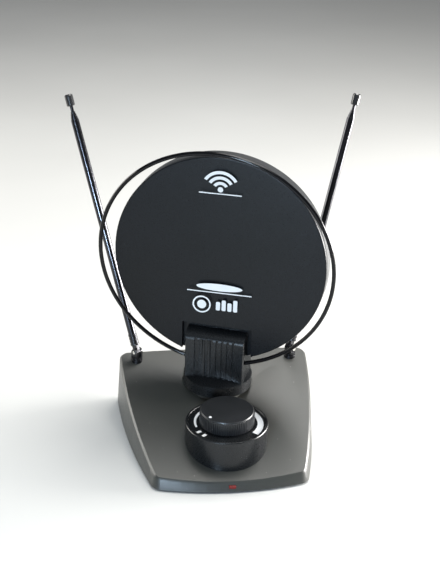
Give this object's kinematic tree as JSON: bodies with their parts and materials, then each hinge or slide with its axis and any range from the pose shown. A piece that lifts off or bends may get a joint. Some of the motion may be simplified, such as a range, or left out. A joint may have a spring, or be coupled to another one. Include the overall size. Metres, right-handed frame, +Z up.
{
  "type": "amplified indoor television antenna",
  "caption": "Indoor television antenna: a wedge base with a gain knob, two telescopic rods that swivel, tilt and extend, and a turning round disc with a loop round it.",
  "frame": {"origin": "middle of the base's footprint on the table, on the underside of the middle rubber foot", "axes": "+Z up, front of the base towards -Y, +X to the right seen from the front"},
  "size_m": [0.2611, 0.2122, 0.2762],
  "materials": {
    "base_shell": "satin moulded, fine grain",
    "black_case": "satin moulded",
    "black_rubber": "matte",
    "zinc_screw": "zinc plated",
    "ballast_steel": "plain",
    "circuit_board": "solder resist",
    "tinned_steel": "tin plated",
    "nickel_plate": "nickel plated",
    "white_insulator": "plain",
    "jack_plastic": "plain",
    "red_lens": "clear-coloured",
    "white_print": "printed",
    "pale_nylon": "plain",
    "knob_plastic": "satin, finely ribbed",
    "disc_face": "satin, very fine grain",
    "disc_shell": "satin moulded",
    "element_metal": "plain sheet",
    "loop_gloss": "gloss black coated wire",
    "terminal_brass": "plain",
    "joint_black": "black plated, semi-gloss",
    "rod_black_chrome": "black chrome",
    "cap_plastic": "moulded"
  },
  "bodies": {
    "base": {"top_cover": "base_shell", "bottom_plate": "black_case", "rubber_feet": "black_rubber", "case_screws": "zinc_screw", "ballast_plate": "ballast_steel", "ballast_screws": "zinc_screw", "amplifier_board": "circuit_board", "board_screws": "zinc_screw", "shield_can": "tinned_steel", "coax_socket": "nickel_plate", "coax_insulator": "white_insulator", "coax_nut": "nickel_plate", "power_jack": "jack_plastic", "indicator_led": "red_lens", "led_window": "red_lens", "control_pod": "black_case", "dial_plate": "black_case", "dial_scale": "white_print", "gain_pot": "tinned_steel", "pot_nut": "zinc_screw", "pod_screws": "zinc_screw", "pivot_washer": "pale_nylon", "rod_collars": "joint_black", "collar_nuts": "zinc_screw"},
    "knob": {"gain_knob": "knob_plastic", "pot_shaft": "nickel_plate", "knob_pointer": "white_print"},
    "turntable": {"pedestal": "black_case", "pivot_retainer": "pale_nylon", "bracket_front": "black_case", "bracket_rear": "black_case", "bracket_screws": "zinc_screw", "pedestal_screws": "zinc_screw", "disc_front": "disc_face", "disc_rear": "disc_shell", "disc_screws": "zinc_screw", "element_plate": "element_metal", "uhf_loop": "loop_gloss", "loop_terminals": "terminal_brass"},
    "left_swivel": {"left_fork": "joint_black", "left_hinge_pin": "nickel_plate", "left_clip": "zinc_screw"},
    "left_rod": {"left_rod_foot": "joint_black", "left_tube_1": "rod_black_chrome"},
    "left_stage_2": {"left_tube_2": "rod_black_chrome"},
    "left_stage_3": {"left_tube_3": "rod_black_chrome"},
    "left_stage_4": {"left_tube_4": "rod_black_chrome"},
    "left_stage_5": {"left_tip_rod": "rod_black_chrome", "left_tip_cap": "cap_plastic"},
    "right_swivel": {"right_fork": "joint_black", "right_hinge_pin": "nickel_plate", "right_clip": "zinc_screw"},
    "right_rod": {"right_rod_foot": "joint_black", "right_tube_1": "rod_black_chrome"},
    "right_stage_2": {"right_tube_2": "rod_black_chrome"},
    "right_stage_3": {"right_tube_3": "rod_black_chrome"},
    "right_stage_4": {"right_tube_4": "rod_black_chrome"},
    "right_stage_5": {"right_tip_rod": "rod_black_chrome", "right_tip_cap": "cap_plastic"}
  },
  "joints": [
    {"name": "disc_swivel", "type": "hinge", "parent": "base", "child": "turntable", "pos_m": [0, 0.033, 0.04], "axis": [0, 0, 1], "range_deg": [-69.3, 110.7]},
    {"name": "gain_turn", "type": "hinge", "parent": "base", "child": "knob", "pos_m": [0, -0.037, 0.045], "axis": [0, 0, 1], "range_deg": [-258, 12]},
    {"name": "left_rod_swivel", "type": "hinge", "parent": "base", "child": "left_swivel", "pos_m": [-0.07, 0.064, 0.0538], "axis": [0, 0, 1], "range_deg": [-63, 46]},
    {"name": "left_rod_tilt", "type": "hinge", "parent": "left_swivel", "child": "left_rod", "pos_m": [-0.07, 0.064, 0.0538], "axis": [-0.729, -0.6845, 0], "range_deg": [-7, 64]},
    {"name": "left_slide_1", "type": "slide", "parent": "left_rod", "child": "left_stage_2", "axis": [-0.2364, 0.2517, 0.9385], "range_m": [0, 0.168]},
    {"name": "left_slide_2", "type": "slide", "parent": "left_stage_2", "child": "left_stage_3", "axis": [-0.2364, 0.2517, 0.9385], "range_m": [0, 0.168]},
    {"name": "left_slide_3", "type": "slide", "parent": "left_stage_3", "child": "left_stage_4", "axis": [-0.2364, 0.2517, 0.9385], "range_m": [0, 0.168]},
    {"name": "left_slide_4", "type": "slide", "parent": "left_stage_4", "child": "left_stage_5", "axis": [-0.2364, 0.2517, 0.9385], "range_m": [0, 0.168]},
    {"name": "right_rod_swivel", "type": "hinge", "parent": "base", "child": "right_swivel", "pos_m": [0.07, 0.064, 0.0538], "axis": [0, 0, 1], "range_deg": [-45, 64]},
    {"name": "right_rod_tilt", "type": "hinge", "parent": "right_swivel", "child": "right_rod", "pos_m": [0.07, 0.064, 0.0538], "axis": [-0.7083, 0.7059, 0], "range_deg": [-7, 64]},
    {"name": "right_slide_1", "type": "slide", "parent": "right_rod", "child": "right_stage_2", "axis": [0.2495, 0.2504, 0.9354], "range_m": [0, 0.168]},
    {"name": "right_slide_2", "type": "slide", "parent": "right_stage_2", "child": "right_stage_3", "axis": [0.2495, 0.2504, 0.9354], "range_m": [0, 0.168]},
    {"name": "right_slide_3", "type": "slide", "parent": "right_stage_3", "child": "right_stage_4", "axis": [0.2495, 0.2504, 0.9354], "range_m": [0, 0.168]},
    {"name": "right_slide_4", "type": "slide", "parent": "right_stage_4", "child": "right_stage_5", "axis": [0.2495, 0.2504, 0.9354], "range_m": [0, 0.168]}
  ]
}
